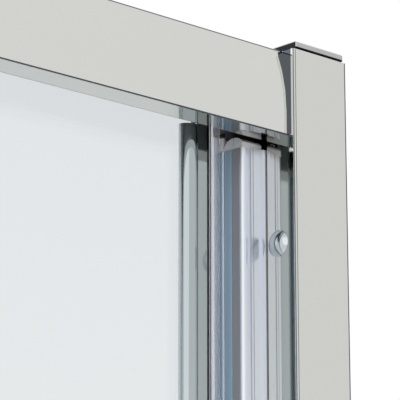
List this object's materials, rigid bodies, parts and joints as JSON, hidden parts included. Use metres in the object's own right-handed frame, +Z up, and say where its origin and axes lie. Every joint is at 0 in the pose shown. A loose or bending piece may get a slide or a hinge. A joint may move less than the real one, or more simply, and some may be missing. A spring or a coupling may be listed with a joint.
{
  "type": "sliding shower door",
  "caption": "Framed sliding shower door with polished aluminium rails, clear glass panes, hidden hanging wheels and a full-height pull strip.",
  "frame": {"origin": "middle of the underside of the bottom rail, where it rests on the curb", "axes": "+X along the opening towards the closing jamb, +Y from the room into the shower, +Z up"},
  "size_m": [1.2, 0.06, 1.9046],
  "materials": {
    "polished_aluminium": "bright dipped and polished",
    "mill_aluminium": "plain extruded",
    "stainless": "fine satin",
    "chrome_trim": "bright chrome",
    "clear_glass": "clear float glass with ground edges",
    "clear_vinyl": "clear soft vinyl",
    "grey_cushion": "soft blue-grey strip",
    "black_gasket": "matt",
    "black_nylon": "matt moulded",
    "white_nylon": "moulded, a little translucent",
    "bearing_steel": "ground steel",
    "grey_liner": "dark grey liner"
  },
  "bodies": {
    "frame": {"header_rail": "polished_aluminium", "bottom_rail": "polished_aluminium", "slot_cover": "polished_aluminium", "jamb_left": "polished_aluminium", "jamb_right": "polished_aluminium", "wall_channel_left": "mill_aluminium", "wall_channel_right": "mill_aluminium", "jamb_cap_left": "chrome_trim", "jamb_cap_right": "chrome_trim", "header_block_left": "black_nylon", "header_block_right": "black_nylon", "jamb_screws": "stainless", "screw_covers": "chrome_trim", "block_screws": "stainless", "strike_profile": "polished_aluminium", "strike_cushions": "grey_cushion", "strike_plug_top": "white_nylon", "strike_plug_foot": "white_nylon", "fixed_glass": "clear_glass", "header_gaskets": "black_gasket", "bottom_gaskets": "black_gasket", "jamb_gaskets": "black_gasket", "setting_blocks": "black_gasket", "fixed_edge_seal": "clear_vinyl", "track_stops": "black_nylon", "stop_buffers": "black_gasket", "stop_screws": "stainless", "bottom_guide": "white_nylon", "guide_screws": "stainless"},
    "door": {"sliding_glass": "clear_glass", "carrier_rail": "polished_aluminium", "carrier_liner": "grey_liner", "pull_profile": "polished_aluminium", "closing_seal": "clear_vinyl", "overlap_seal": "clear_vinyl", "drip_seal": "clear_vinyl", "hanger_plate_left": "stainless", "hanger_plate_right": "stainless", "hanger_bolts": "stainless", "hanger_nuts": "stainless", "wheel_axles": "bearing_steel", "inner_races": "bearing_steel", "lift_pads": "white_nylon"},
    "wheel_1": {"wheel_1": "white_nylon", "outer_race_1": "bearing_steel"},
    "wheel_2": {"wheel_2": "white_nylon", "outer_race_2": "bearing_steel"}
  },
  "joints": [
    {"name": "door_slide", "type": "slide", "parent": "frame", "child": "door", "axis": [-1, 0, 0], "range_m": [0, 0.45]},
    {"name": "wheel_1_spin", "type": "hinge", "parent": "door", "child": "wheel_1", "pos_m": [0.042, 0.0225, 1.8818], "axis": [0, 1, 0], "continuous": true},
    {"name": "wheel_2_spin", "type": "hinge", "parent": "door", "child": "wheel_2", "pos_m": [0.4395, 0.0225, 1.8818], "axis": [0, 1, 0], "continuous": true}
  ],
  "couplings": [
    {"joint": "wheel_1_spin", "follows": "door_slide", "rad_per_m": -100},
    {"joint": "wheel_2_spin", "follows": "door_slide", "rad_per_m": -100}
  ]
}
